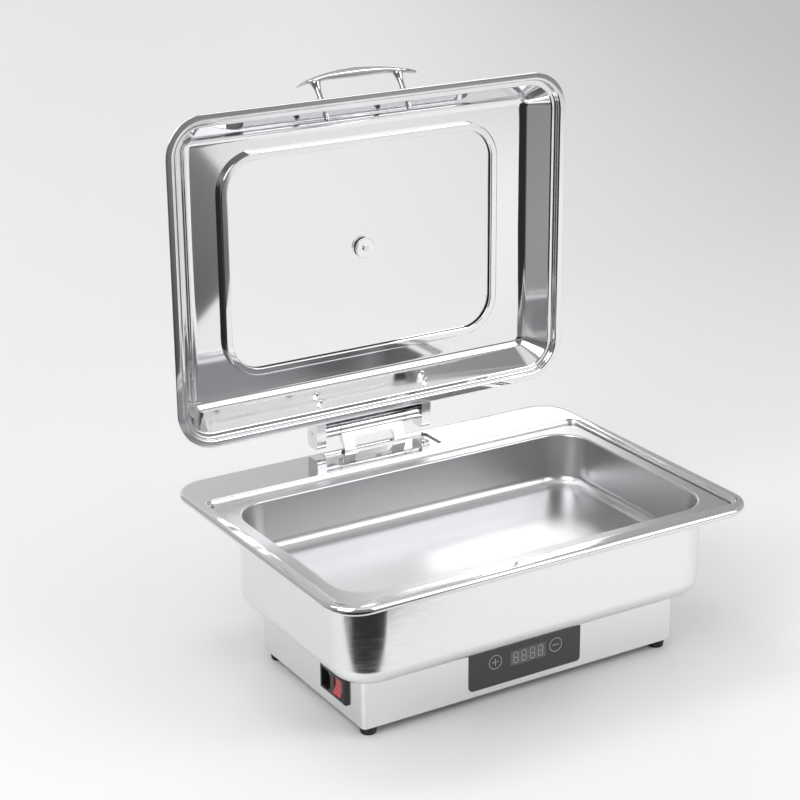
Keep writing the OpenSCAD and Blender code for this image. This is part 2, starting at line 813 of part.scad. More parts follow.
module temperature_probe() {
    probe_r = 3;
    probe_l = 26;
    color("gainsboro") translate([0, 2*tube_bend, heater_z]) {
        translate([-probe_l/2, 0, -probe_r]) rotate([0, 90, 0]) cylinder(r = probe_r, h = probe_l);
        translate([-probe_l/2, -4, -1]) cube([8, 8, 1]);
    }
}

module heat_shield() {
    lip_h = 10;
    color("gainsboro") translate([0, 0, shield_z]) difference() {
        linear_extrude(lip_h) round_rect(shield_l, shield_w, 8);
        translate([0, 0, shield_t]) linear_extrude(lip_h)
            round_rect(shield_l - 2*shield_t, shield_w - 2*shield_t, 8 - shield_t);
        four(spacer_x, spacer_y) translate([0, 0, -1]) cylinder(r = m4_r + hole_play, h = 3);
    }
}

module shield_spacers() {
    color("white") four(spacer_x, spacer_y) translate([0, 0, shield_z + shield_t])
        tube(spacer_r, m4_r + hole_play, heater_z - shield_z - shield_t);
}

module shield_screws() {
    color("gainsboro") four(spacer_x, spacer_y) translate([0, 0, shield_z]) rotate([180, 0, 0])
        screw(m4_r, heater_z + heater_t/2 - shield_z);
}

// Food pan

// Inside of the food pan, from its flange down to its floor
function pan_path() =
    let (r = pan_mouth_r, low = r - pan_draft, floor_z = pan_top - pan_depth,
         lean = atan(pan_draft/(pan_depth - pan_floor_r - bend_r)))
    concat([[r + bend_r + lap, pan_top]],
           arc(r + bend_r, pan_top - bend_r, bend_r, 90, 180 - lean),
           arc(low - pan_floor_r, floor_z + pan_floor_r, pan_floor_r, -lean, -90),
           [[low - pan_floor_r - lap, floor_z]]);

module food_pan() {
    floor_in = pan_draft + pan_floor_r + lap;
    color("darkgray") translate([0, pan_y, 0]) {
        loop(mouth_l, mouth_w, pan_mouth_r) polygon(sheet(pan_path(), pan_sheet));
        translate([0, 0, pan_top - pan_depth - pan_sheet]) linear_extrude(pan_sheet)
            round_rect(mouth_l - 2*floor_in, mouth_w - 2*floor_in, pan_mouth_r - floor_in);
        translate([0, 0, pan_top - pan_sheet]) linear_extrude(pan_sheet) difference() {
            round_rect(pan_l, pan_w, pan_flange_r);
            round_rect(mouth_l + 2*(bend_r + lap), mouth_w + 2*(bend_r + lap), pan_mouth_r + bend_r + lap);
        }
        translate([0, 0, ledge_z]) linear_extrude(pan_lip) difference() {
            round_rect(pan_l, pan_w, pan_flange_r);
            round_rect(pan_l - 2*pan_sheet, pan_w - 2*pan_sheet, pan_flange_r - pan_sheet);
        }
    }
}

// Hinge

module hinge_screw_places() {
    for (x = [-1, 1], i = [0, 1]) translate([x*hinge_screw_x[i], hinge_screw_y[i], 0]) children();
}

// Plate in the pocket with a leaning saddle that carries the fixed part of the barrel
module hinge_base() {
    saddle_back = pocket_back - pocket_play - 0.4;
    saddle_front = saddle_back - 4;
    arch_low = hinge_top + 1.5;
    arch_h = axis_z - barrel_d/2 - 3 - arch_low;
    color("gainsboro") difference() {
        union() {
            translate([0, pocket_y, pocket_z]) linear_extrude(hinge_t)
                round_rect(hinge_l, hinge_w, pocket_r - pocket_play);
            along_x(-saddle_l/2, saddle_l)
                polygon([[saddle_front, pocket_z], [saddle_back, pocket_z],
                         [saddle_back, rim_top + 1.5], [axis_y + 0.6*barrel_d/2, axis_z - 0.6*barrel_d/2],
                         [axis_y, axis_z], [axis_y - 0.75*barrel_d/2, axis_z - 0.65*barrel_d/2],
                         [saddle_front, hinge_top + 3]]);
            along_x(-knuckle_l/2, knuckle_l) translate([axis_y, axis_z]) circle(d = barrel_d);
        }
        along_x(-knuckle_l, 2*knuckle_l) translate([axis_y, axis_z]) circle(pin_d/2 + pin_play);
        // Arch between the two legs
        translate([0, axis_y + barrel_d, arch_low + arch_h/2]) rotate([90, 0, 0])
            linear_extrude(pocket_w + barrel_d) round_rect(0.6*knuckle_l, arch_h, pocket_r);
        translate([0, 0, pocket_z - 1]) hinge_screw_places() cylinder(r = m4_r + hole_play, h = hinge_t + 2);
    }
}

module hinge_backing() {
    color("gainsboro") translate([0, 0, pocket_z - tank_sheet - hinge_t]) difference() {
        translate([0, pocket_y, 0]) linear_extrude(hinge_t) round_rect(hinge_l, hinge_w, pocket_r);
        translate([0, 0, -1]) hinge_screw_places() cylinder(r = m4_r + hole_play, h = hinge_t + 2);
    }
}

module hinge_screws() {
    color("gainsboro") hinge_screw_places() translate([0, 0, hinge_top])
        screw(m4_r, 2*hinge_t + tank_sheet + nut_h + 1);
}

module hinge_nuts() {
    color("gainsboro") hinge_screw_places()
        translate([0, 0, pocket_z - tank_sheet - hinge_t - nut_h]) nut(m4_r);
}

module hinge_pin() {
    pin_l = ear_gap + 2*ear_w;
    color("dimgray") opened() difference() {
        along_x(-pin_l/2, pin_l) translate([axis_y, axis_z]) circle(d = pin_d);
        for (x = [-1, 1]) along_x(x*pin_l/2 - 2, 4) translate([axis_y, axis_z]) circle(1.6);
    }
}

module hinge_sleeves() {
    sleeve_l = (ear_gap - knuckle_l)/2 - sleeve_gap;
    color("gainsboro") opened() for (x = [-ear_gap/2, ear_gap/2 - sleeve_l])
        along_x(x, sleeve_l) translate([axis_y, axis_z]) difference() {
            circle(d = barrel_d);
            circle(pin_d/2 + thread_play);
        }
}

module bracket_screw_places() {
    for (x = [-1, 1], v = [-1, 1])
        translate([x*bracket_screw_x, v*bracket_screw_pitch/2, 0]) children();
}

// Channel on the lid's rear wall: a foot plate, an ear at each end and a web over the barrel
module hinge_bracket() {
    bracket_l = ear_gap + 2*ear_w;
    top = rear_wall(-bracket_w/2, bracket_t/2);
    low = rear_wall(bracket_w/2, bracket_t/2);
    back = [axis_y, axis_z + ear_r];
    color("gainsboro") opened() difference() {
        union() {
            on_wall(1) linear_extrude(bracket_t) square([bracket_l, bracket_w], center = true);
            for (x = [-bracket_l/2, ear_gap/2]) along_x(x, ear_w) {
                polygon([top, low, [axis_y, axis_z - ear_r], back]);
                translate([axis_y + ear_tail/2, axis_z])
                    round_rect(2*ear_r + ear_tail, 2*ear_r, ear_round);
            }
            along_x(-ear_gap/2, ear_gap) polygon(sheet([back, top], web_t));
        }
        along_x(-bracket_l, 2*bracket_l) translate([axis_y, axis_z]) circle(pin_d/2 + thread_play);
        on_wall(1) translate([0, 0, -1]) bracket_screw_places() {
            cylinder(r = m4_r + hole_play, h = 40);
            translate([0, 0, bracket_t + 1]) cylinder(r = head_r + 0.4, h = 40);
        }
    }
}

module bracket_screws() {
    color("gainsboro") opened() on_wall(1) bracket_screw_places() translate([0, 0, bracket_t])
        screw(m4_r, bracket_t + lid_sheet + nut_h);
}

module bracket_nuts() {
    color("gainsboro") opened() on_wall(1) bracket_screw_places()
        translate([0, 0, -lid_sheet]) rotate([180, 0, 0]) acorn_nut(m4_r, nut_h + 1);
}

// Lid

// Inside of the lid's section, from the flange's edge in and up to the flat top
function lid_path() = concat(
    [[lid_r, 0]],
    arc(step_x + bend_r, bend_r, bend_r, -90, -180, 4),
    arc(step_x - bend_r, lid_step - bend_r, bend_r, 0, 90, 4),
    arc(wall_x, lid_step + bend_r, bend_r, -90, lid_lean - 180, 4),
    arc(shoulder_x, lid_in - lid_shoulder_r, lid_shoulder_r, lid_lean, 90, 6),
    [[shoulder_x - lap, lid_in]]);

module lid_shell() {
    flat = lid_r - shoulder_x + lap;
    color("silver") opened() difference() {
        union() {
            translate([0, lid_y, lid_z]) {
                loop(lid_l, lid_w, lid_r) {
                    polygon(sheet(lid_path(), -lid_sheet));
                    translate([lid_r - hem_w, 0]) square([hem_w, 2*lid_sheet]);
                }
                translate([0, 0, lid_in]) linear_extrude(lid_sheet) difference() {
                    round_rect(lid_l - 2*flat, lid_w - 2*flat, lid_r - flat);
                    translate([0, -window_shift]) round_rect(window_l, window_w, window_r);
                }
            }
        }
        on_wall(1) translate([0, 0, -2*lid_sheet]) bracket_screw_places()
            cylinder(r = m4_r + hole_play, h = 3*lid_sheet);
        on_wall(-1) translate([0, 0, -2*lid_sheet]) post_places()
            cylinder(r = m5_r + hole_play, h = 3*lid_sheet);
    }
}

module window_gasket() {
    color("dimgray") opened() at_window() translate([0, 0, gasket_z]) linear_extrude(gasket_t) difference() {
        round_rect(glass_l, glass_w, glass_r);
        round_rect(window_l, window_w, window_r);
    }
}

module window_glass() {
    color("lightcyan", 0.4) opened() at_window() translate([0, 0, glass_z]) linear_extrude(glass_t) difference() {
        round_rect(glass_l, glass_w, glass_r);
        circle(d = glass_hole_d);
    }
}

// Ring of angle section that holds the glass against the lid from inside
module window_ring() {
    color("gainsboro") opened() at_window() translate([0, 0, ring_z]) difference() {
        linear_extrude(lid_in - ring_z) round_rect(ring_l, ring_w, ring_r);
        translate([0, 0, ring_t]) linear_extrude(lid_in - ring_z)
            round_rect(ring_l - 2*ring_wall, ring_w - 2*ring_wall, ring_r - ring_wall);
        translate([0, 0, -1]) linear_extrude(ring_t + 2) round_rect(window_l, window_w, window_r);
    }
}

module glass_washer() {
    color("whitesmoke") opened() at_window() translate([0, 0, glass_z - button_t])
        tube(button_d/2, m5_r + hole_play, button_t);
}

module glass_screw() {
    color("gainsboro") opened() at_window() translate([0, 0, glass_z - button_t]) rotate([180, 0, 0])
        screw(m5_r, button_t + glass_t + seal_t + cap_h/2);
}

module glass_cap() {
    cap_top_d = button_d - 6;
    color("gainsboro") opened() at_window() translate([0, 0, gasket_z + seal_t]) difference() {
        union() {
            cylinder(d = button_d, h = cap_h - 3);
            translate([0, 0, cap_h - 3]) cylinder(d1 = button_d, d2 = cap_top_d, h = 3);
        }
        translate([0, 0, -1]) cylinder(r = m5_r + thread_play, h = cap_h/2 + 1.5);
    }
}

module cap_seal() {
    color("dimgray") opened() at_window() translate([0, 0, gasket_z])
        tube(button_d/2 - 1, m5_r + hole_play, seal_t);
}

// Handle

module post_places() {
    for (x = [-1, 1]) translate([x*post_pitch/2, 0, 0]) children();
}

// Bowed bar with a leaf at each end, on two turned posts
module handle() {
    foot_r = 8;
    waist_r = 3.6;
    stud = lid_sheet + nut_h;
    leaf_l = 40;
    leaf_t = 5;
    arch = 9;
    neck = handle_h - arch;
    reach = grip_l/2 - leaf_l/2;
    bow_r = (reach*reach + arch*arch)/(2*arch);
    half = asin(reach/bow_r);
    leaf_r = (leaf_l*leaf_l/4 + grip_d*grip_d/4)/grip_d;
    color("gainsboro") opened() on_wall(-1) {
        translate([0, 0, handle_h - bow_r]) {
            rotate([90, 0, 0]) rotate([0, 0, 90 - half]) rotate_extrude(angle = 2*half)
                translate([bow_r, 0]) circle(d = grip_t);
            for (side = [-1, 1]) rotate([0, side*half, 0]) translate([0, 0, bow_r - leaf_t/2])
                linear_extrude(leaf_t) intersection_for(y = [-1, 1])
                    translate([0, y*(leaf_r - grip_d/2)]) circle(leaf_r);
        }
        post_places() {
            rotate_extrude() polygon(concat([[0, 0], [foot_r, 0], [foot_r, 1.5]],
                arc(foot_r + 2, 13, foot_r + 2 - waist_r, 240, 180, 5),
                [[waist_r, neck - 14], [7, neck - 2], [7, neck], [0, neck]]));
            translate([0, 0, -stud]) cylinder(r = m5_r, h = stud + 1);
        }
    }
}

module handle_nuts() {
    color("gainsboro") opened() on_wall(-1) post_places()
        translate([0, 0, -lid_sheet]) rotate([180, 0, 0]) acorn_nut(m5_r, nut_h + 1);
}

base_housing();
bottom_plate();
bottom_screws();
rubber_feet();
foot_screws();
foot_nuts();
control_panel();
control_board();
display_module();
touch_springs();
board_posts();
board_screws();
power_inlet();
inlet_pins();
rocker_switch();
power_board();
relay();
transformer();
capacitor();
terminal_block();
power_standoffs();
power_screws();
water_pan();
pan_studs();
pan_nuts();
heater_plate();
heating_element();
element_straps();
strap_screws();
thermostat();
temperature_probe();
heat_shield();
shield_spacers();
shield_screws();
food_pan();
hinge_base();
hinge_backing();
hinge_screws();
hinge_nuts();
hinge_pin();
hinge_sleeves();
hinge_bracket();
bracket_screws();
bracket_nuts();
lid_shell();
window_gasket();
window_glass();
window_ring();
glass_washer();
glass_screw();
glass_cap();
cap_seal();
handle();
handle_nuts();
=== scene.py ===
"""Electric chafing dish with its lid open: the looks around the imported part."""
import math

import bmesh
import bpy
from mathutils import Matrix, Vector

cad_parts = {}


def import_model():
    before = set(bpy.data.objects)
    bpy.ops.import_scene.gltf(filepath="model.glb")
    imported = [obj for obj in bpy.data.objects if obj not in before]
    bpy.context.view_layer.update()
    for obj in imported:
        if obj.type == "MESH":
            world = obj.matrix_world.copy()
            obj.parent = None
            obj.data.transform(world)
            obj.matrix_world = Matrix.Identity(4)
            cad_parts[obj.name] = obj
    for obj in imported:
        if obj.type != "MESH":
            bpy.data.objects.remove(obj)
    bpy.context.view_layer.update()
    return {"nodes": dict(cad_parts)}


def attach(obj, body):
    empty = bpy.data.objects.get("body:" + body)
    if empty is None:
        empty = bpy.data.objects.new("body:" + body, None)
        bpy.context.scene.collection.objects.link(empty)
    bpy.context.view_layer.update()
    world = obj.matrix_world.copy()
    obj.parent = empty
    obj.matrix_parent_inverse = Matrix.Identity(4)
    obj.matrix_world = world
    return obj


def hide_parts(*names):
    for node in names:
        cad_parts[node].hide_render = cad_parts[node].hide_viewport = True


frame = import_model()

# Sizes in millimetres, as the part has them
PAN = {"length": 530, "width": 325, "y": -5, "top": 194, "depth": 65, "lip": 4, "lip_bend": 2,
       "flange_r": 10, "mouth_r": 45, "flange": 18, "draft": 4, "floor_r": 15, "sheet": 1}
RIM = {"length": 568, "front": -191.5, "back": 232, "radius": 42, "roll": 10, "top": 199.5, "step": 5,
       "sheet": 1, "gap": 1}
TANK = {"length": 502, "width": 297, "radius": 47, "floor_r": 22, "floor": 76}
POCKET = {"length": 151.2, "front": 177.5, "back": 222, "radius": 5, "floor": 193.5}
LID = {"length": 556, "width": 407, "front": -195, "plane": 200, "radius": 50, "height": 40, "flange": 10,
       "hem": 4, "step": 7, "step_w": 8, "lean": 35, "shoulder_r": 15, "sheet": 1}
WINDOW = {"length": 373, "width": 260, "radius": 40, "shift": 4, "gasket": 1.5, "glass": 4, "glass_edge": 8,
          "seal": 0.8}
RING = {"sheet": 2.4, "wall": 1.2, "fit": 0.3, "round": 2}
HANDLE = {"post_pitch": 115, "height": 51, "length": 168, "thickness": 11}
HINGE = {"y": 232, "z": 226}
PANEL = {"length": 156, "height": 54, "radius": 5, "sheet": 1.5, "face_y": -122.5, "z": 47}
KEY = {"pitch": 85, "z": 50, "ring": 9, "line": 0.9, "bar": 9, "stroke": 1.1}
DISPLAY = {"x": 3.5, "z": 48.5, "length": 50, "height": 19, "radius": 0.6}
DIGIT = {"count": 4, "pitch": 11.6, "width": 6.2, "height": 13, "stroke": 1.1}
BEND = 3
LAP = 2
EASE = 1
CORNER_STEPS = 14
MM = 0.001
# Closer than this, in metres, two points are one
TOUCH = 2e-6

# Turns a piece from the closed lid's place to the open one
OPEN = (Matrix.Translation((0, HINGE["y"]*MM, HINGE["z"]*MM)) @ Matrix.Rotation(-math.pi/2, 4, "X")
        @ Matrix.Translation((0, -HINGE["y"]*MM, -HINGE["z"]*MM)))


def at(x, y, z):
    return Vector((x*MM, y*MM, z*MM))


def arc(x, z, radius, first, last, steps=8):
    """Points of an arc in a section, from one angle to another in degrees."""
    angles = [math.radians(first + (last - first)*i/steps) for i in range(steps + 1)]
    return [(x + radius*math.cos(a), z + radius*math.sin(a)) for a in angles]


# Modelling by hand

def activate(piece):
    bpy.ops.object.select_all(action="DESELECT")
    piece.select_set(True)
    bpy.context.view_layer.objects.active = piece


def edit(piece):
    activate(piece)
    bpy.ops.object.mode_set(mode="EDIT")


def leave():
    bpy.ops.object.mode_set(mode="OBJECT")


def start(name, add, scale=(1, 1, 1), **settings):
    """A new primitive with its place in its mesh, selected all over in edit mode."""
    bpy.ops.object.select_all(action="DESELECT")
    add(**settings)
    piece = bpy.context.object
    piece.name = piece.data.name = name
    piece.scale = scale
    bpy.ops.object.transform_apply(location=True, rotation=True, scale=True)
    bpy.ops.object.mode_set(mode="EDIT")
    bpy.ops.mesh.select_all(action="SELECT")
    return piece


def begin_at(name, place):
    """A new piece that is one selected point, in edit mode."""
    piece = start(name, bpy.ops.mesh.primitive_plane_add, size=MM)
    bpy.ops.mesh.select_mode(type="VERT")
    bpy.ops.mesh.select_all(action="SELECT")
    bpy.ops.mesh.merge(type="CENTER")
    bpy.ops.transform.translate(value=place)
    return piece


def draw_on(points):
    """Draws an edge chain on from the selected point, through the points."""
    for here, there in zip(points, points[1:]):
        bpy.ops.mesh.extrude_vertices_move(TRANSFORM_OT_translate={"value": there - here})


def pick(piece, kind, test):
    """Selects the vertices, edges or faces that pass a test."""
    bpy.ops.mesh.select_mode(type=kind)
    bpy.ops.mesh.select_all(action="DESELECT")
    mesh = bmesh.from_edit_mesh(piece.data)
    for item in {"VERT": mesh.verts, "EDGE": mesh.edges, "FACE": mesh.faces}[kind]:
        item.select = test(item)
    mesh.select_flush_mode()
    bmesh.update_edit_mesh(piece.data)


def near(a, b):
    return abs(a - b) < TOUCH


def push(offset):
    bpy.ops.mesh.extrude_region_move(TRANSFORM_OT_translate={"value": offset})


def modify(piece, kind, **settings):
    """Adds a modifier with these settings and applies it."""
    activate(piece)
    modifier = piece.modifiers.new(kind.lower(), kind)
    for name, value in settings.items():
        setattr(modifier, name, value)
    bpy.ops.object.modifier_apply(modifier=modifier.name)


def pressed_round(name, path, length, width, radius, closed=False):
    """A section carried round a rounded rectangle about the origin: one corner is spun, its ends are
    drawn out to the middle, and the quarter is mirrored. The section's x is counted from the centre
    of the corner."""
    cx, cy = length/2 - radius, width/2 - radius
    points = [at(cx + x, cy, z) for x, z in path]
    piece = begin_at(name, points[0])
    draw_on(points)
    if closed:
        ends = (points[0], points[-1])
        pick(piece, "VERT", lambda v: any((v.co - end).length < TOUCH for end in ends))
        bpy.ops.mesh.edge_face_add()
    bpy.ops.mesh.select_mode(type="VERT")
    bpy.ops.mesh.select_all(action="SELECT")
    bpy.ops.mesh.spin(steps=CORNER_STEPS, angle=-math.pi/2, center=at(cx, cy, 0), axis=(0, 0, 1))
    pick(piece, "EDGE", lambda e: all(near(v.co.x, cx*MM) for v in e.verts))
    push(at(-cx, 0, 0))
    pick(piece, "EDGE", lambda e: all(near(v.co.y, cy*MM) for v in e.verts))
    push(at(0, -cy, 0))
    leave()
    modify(piece, "MIRROR", use_axis=(True, True, False), merge_threshold=TOUCH)
    edit(piece)
    bpy.ops.mesh.select_all(action="SELECT")
    bpy.ops.mesh.remove_doubles(threshold=TOUCH)
    leave()
    return piece


def shift(piece, offset):
    """Moves all of a piece's mesh."""
    edit(piece)
    bpy.ops.mesh.select_mode(type="VERT")
    bpy.ops.mesh.select_all(action="SELECT")
    bpy.ops.transform.translate(value=offset)
    leave()


def joined(name, pieces):
    activate(pieces[0])
    for piece in pieces[1:]:
        piece.select_set(True)
    bpy.ops.object.join()
    whole = bpy.context.object
    whole.name = whole.data.name = name
    return whole


def fill_level(piece, z):
    """Closes the flat between all open edges at one height."""
    edit(piece)
    pick(piece, "EDGE", lambda e: e.is_boundary and all(near(v.co.z, z*MM) for v in e.verts))
    bpy.ops.mesh.fill(use_beauty=True)
    leave()


def thicken(piece, sheet, up):
    """Gives a drawn surface its sheet's thickness, above it or below it."""
    edit(piece)
    bpy.ops.mesh.select_all(action="SELECT")
    bpy.ops.mesh.remove_doubles(threshold=TOUCH)
    bpy.ops.mesh.normals_make_consistent(inside=False)
    mesh = bmesh.from_edit_mesh(piece.data)
    flat = max((f for f in mesh.faces if abs(f.normal.z) > 0.99), key=lambda f: f.calc_area())
    if (flat.normal.z > 0) != up:
        bpy.ops.mesh.flip_normals()
    leave()
    modify(piece, "SOLIDIFY", thickness=sheet*MM, offset=1)


def smooth(piece, angle=32):
    """Shades a piece smooth but for edges sharper than the angle, with its flats kept flat."""
    activate(piece)
    bpy.ops.object.shade_smooth_by_angle(angle=math.radians(angle))
    modify(piece, "WEIGHTED_NORMAL", keep_sharp=True, weight=60)


def put(piece, matrix):
    """Moves a piece to its place and leaves the place in its mesh."""
    piece.matrix_world = matrix
    activate(piece)
    bpy.ops.object.transform_apply(location=True, rotation=True, scale=True)


def recalculate(piece):
    """Merges doubled points and turns the faces outwards."""
    edit(piece)
    bpy.ops.mesh.select_all(action="SELECT")
    bpy.ops.mesh.remove_doubles(threshold=TOUCH)
    bpy.ops.mesh.normals_make_consistent(inside=False)
    leave()


def drawn_up(name, rings, sides, x=0):
    """A round piece drawn up ring by ring from (height, radius) pairs, closed at both ends."""
    base_z, base_r = rings[0]
    piece = start(name, bpy.ops.mesh.primitive_circle_add, vertices=sides, radius=base_r*MM,
                  fill_type="NGON", location=at(x, 0, base_z))
    for (z0, r0), (z1, r1) in zip(rings, rings[1:]):
        push(at(0, 0, z1 - z0))
        bpy.ops.transform.resize(value=(r1/r0, r1/r0, 1), center_override=at(x, 0, z1))
    leave()
    return piece


def dress(piece, body, look, slot, *nodes):
    """Gives a finished piece its look and lets it stand for its nodes."""
    piece.data.materials.clear()
    piece.data.materials.append(look)
    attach(piece, body)
    if nodes:
        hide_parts(*nodes)


def eased(node, edge):
    """A copy of a machined node with its edges eased, for a piece that needs no other work."""
    source = frame["nodes"][node]
    piece = bpy.data.objects.new(node + "_eased", source.data.copy())
    bpy.context.scene.collection.objects.link(piece)
    edit(piece)
    bpy.ops.mesh.select_all(action="SELECT")
    bpy.ops.mesh.customdata_custom_splitnormals_clear()
    bpy.ops.mesh.remove_doubles(threshold=TOUCH)
    bpy.ops.mesh.dissolve_limited(angle_limit=math.radians(0.5))
    leave()
    modify(piece, "BEVEL", width=edge*MM, segments=2, limit_method="ANGLE",
           angle_limit=math.radians(40), use_clamp_overlap=True)
    smooth(piece)
    return piece


# Finishes

def finish(name, colour, roughness, metallic=0.0, **sockets):
    """A plain surface; each socket is named with underscores for its spaces."""
    made = bpy.data.materials.new(name)
    made.use_nodes = True
    shader = made.node_tree.nodes["Principled BSDF"]
    shader.inputs["Base Color"].default_value = (*colour, 1)
    shader.inputs["Roughness"].default_value = roughness
    shader.inputs["Metallic"].default_value = metallic
    for socket, value in sockets.items():
        shader.inputs[socket.replace("_", " ")].default_value = value
    return made


def grain(made, scale, stretch=(1, 1, 1)):
    """Noise over the piece's own place, stretched along the way the surface was worked."""
    tree = made.node_tree
    place = tree.nodes.new("ShaderNodeTexCoord")
    mapping = tree.nodes.new("ShaderNodeMapping")
    noise = tree.nodes.new("ShaderNodeTexNoise")
    mapping.inputs["Scale"].default_value = stretch
    noise.inputs["Scale"].default_value = scale
    noise.inputs["Detail"].default_value = 4
    tree.links.new(place.outputs["Object"], mapping.inputs["Vector"])
    tree.links.new(mapping.outputs["Vector"], noise.inputs["Vector"])
    return noise.outputs["Fac"]


def vary(made, socket, source, low, high):
    """Lets noise move a number socket between two values."""
    tree = made.node_tree
    spread = tree.nodes.new("ShaderNodeMapRange")
    spread.inputs["From Min"].default_value = 0.3
    spread.inputs["From Max"].default_value = 0.7
    spread.inputs["To Min"].default_value = low
    spread.inputs["To Max"].default_value = high
    tree.links.new(source, spread.inputs["Value"])
    tree.links.new(spread.outputs["Result"], tree.nodes["Principled BSDF"].inputs[socket])


def tint(made, source, dark, light):
    """Lets noise move the colour between two."""
    tree = made.node_tree
    ramp = tree.nodes.new("ShaderNodeValToRGB")
    ramp.color_ramp.elements[0].position = 0.3
    ramp.color_ramp.elements[1].position = 0.7
    ramp.color_ramp.elements[0].color = (*dark, 1)
    ramp.color_ramp.elements[1].color = (*light, 1)
    tree.links.new(source, ramp.inputs["Fac"])
    tree.links.new(ramp.outputs["Color"], tree.nodes["Principled BSDF"].inputs["Base Color"])


def relief(made, source, strength, depth):
    """Raises the surface by noise, depth in millimetres."""
    tree = made.node_tree
    bump = tree.nodes.new("ShaderNodeBump")
    bump.inputs["Strength"].default_value = strength
    bump.inputs["Distance"].default_value = depth*MM
    tree.links.new(source, bump.inputs["Height"])
    tree.links.new(bump.outputs["Normal"], tree.nodes["Principled BSDF"].inputs["Normal"])


def steel(name, colour, low, high, scale, stretch, depth):
    """Bare steel whose grain moves its roughness between two values and stands up a little."""
    made = finish(name, colour, low, metallic=1.0)
    lines = grain(made, scale, stretch)
    vary(made, "Roughness", lines, low, high)
    relief(made, lines, 0.15, depth)
    return made


mirror_steel = steel("mirror steel", (0.80, 0.80, 0.81), 0.035, 0.075, 9, (1, 1, 1), 0.02)
rim_steel = steel("polished rim steel", (0.79, 0.79, 0.80), 0.06, 0.11, 14, (1, 1, 1), 0.02)
satin_steel = steel("satin pan steel", (0.58, 0.58, 0.59), 0.27, 0.33, 500, (1, 12, 12), 0.004)
base_steel = steel("brushed base steel", (0.83, 0.83, 0.84), 0.12, 0.22, 50, (1, 1, 12), 0.02)
# The handle's polished steel has a darker base colour than the lid's mirror steel: painted shade that
# stands in for the darker reflections on the handle
shade_darkened_handle_steel = steel("cast handle steel darkened as painted shade", (0.60, 0.60, 0.61), 0.07, 0.12, 60, (1, 1, 1), 0.02)
bracket_steel = steel("bright hinge steel", (0.76, 0.76, 0.77), 0.08, 0.16, 90, (1, 4, 4), 0.02)
fastener_steel = steel("bright fastener steel", (0.72, 0.72, 0.74), 0.10, 0.2, 200, (1, 1, 1), 0.01)
plain_steel = steel("plain sheet steel", (0.58, 0.58, 0.59), 0.3, 0.45, 40, (1, 8, 1), 0.03)
element_steel = steel("heat-darkened steel", (0.2, 0.19, 0.18), 0.4, 0.6, 120, (1, 1, 1), 0.05)

cast_aluminium = finish("cast aluminium", (0.55, 0.56, 0.57), 0.5, metallic=1.0)
relief(cast_aluminium, grain(cast_aluminium, 300), 0.3, 0.1)
brass = finish("contact brass", (0.78, 0.6, 0.28), 0.25, metallic=1.0)
vary(brass, "Roughness", grain(brass, 250), 0.18, 0.35)

window_clear = finish("window glass", (1, 1, 1), 0.0, IOR=1.12, Transmission_Weight=1.0)
panel_black = finish("panel black", (0.018, 0.018, 0.019), 0.2, Coat_Weight=0.6, Coat_Roughness=0.08)
vary(panel_black, "Roughness", grain(panel_black, 120), 0.18, 0.26)
display_grey = finish("display grey", (0.13, 0.13, 0.13), 0.35)
vary(display_grey, "Roughness", grain(display_grey, 300), 0.3, 0.42)
mark_grey = finish("printed grey", (0.46, 0.46, 0.46), 0.5)
vary(mark_grey, "Roughness", grain(mark_grey, 400), 0.45, 0.6)
moulded_black = finish("moulded black", (0.022, 0.022, 0.023), 0.4)
relief(moulded_black, grain(moulded_black, 900), 0.2, 0.03)
rocker_red = finish("rocker red", (0.75, 0.10, 0.11), 0.22, Transmission_Weight=0.25, IOR=1.46)
vary(rocker_red, "Roughness", grain(rocker_red, 200), 0.18, 0.3)
foot_rubber = finish("foot rubber", (0.02, 0.02, 0.02), 0.75)
relief(foot_rubber, grain(foot_rubber, 700), 0.4, 0.08)
board_green = finish("board lacquer", (0.03, 0.17, 0.08), 0.35)
tint(board_green, grain(board_green, 180), (0.02, 0.13, 0.06), (0.04, 0.2, 0.1))
relay_blue = finish("relay case", (0.05, 0.15, 0.45), 0.35)
vary(relay_blue, "Roughness", grain(relay_blue, 300), 0.3, 0.45)
winding_tape = finish("winding tape", (0.6, 0.48, 0.12), 0.4)
tint(winding_tape, grain(winding_tape, 90, (1, 1, 12)), (0.5, 0.38, 0.08), (0.68, 0.56, 0.18))
insulator_white = finish("insulator white", (0.8, 0.79, 0.76), 0.5)
tint(insulator_white, grain(insulator_white, 150), (0.76, 0.75, 0.71), (0.83, 0.82, 0.79))


# Water pan: rolled rim, deck with the hinge pocket, steps, ledge and tank as one pressed sheet

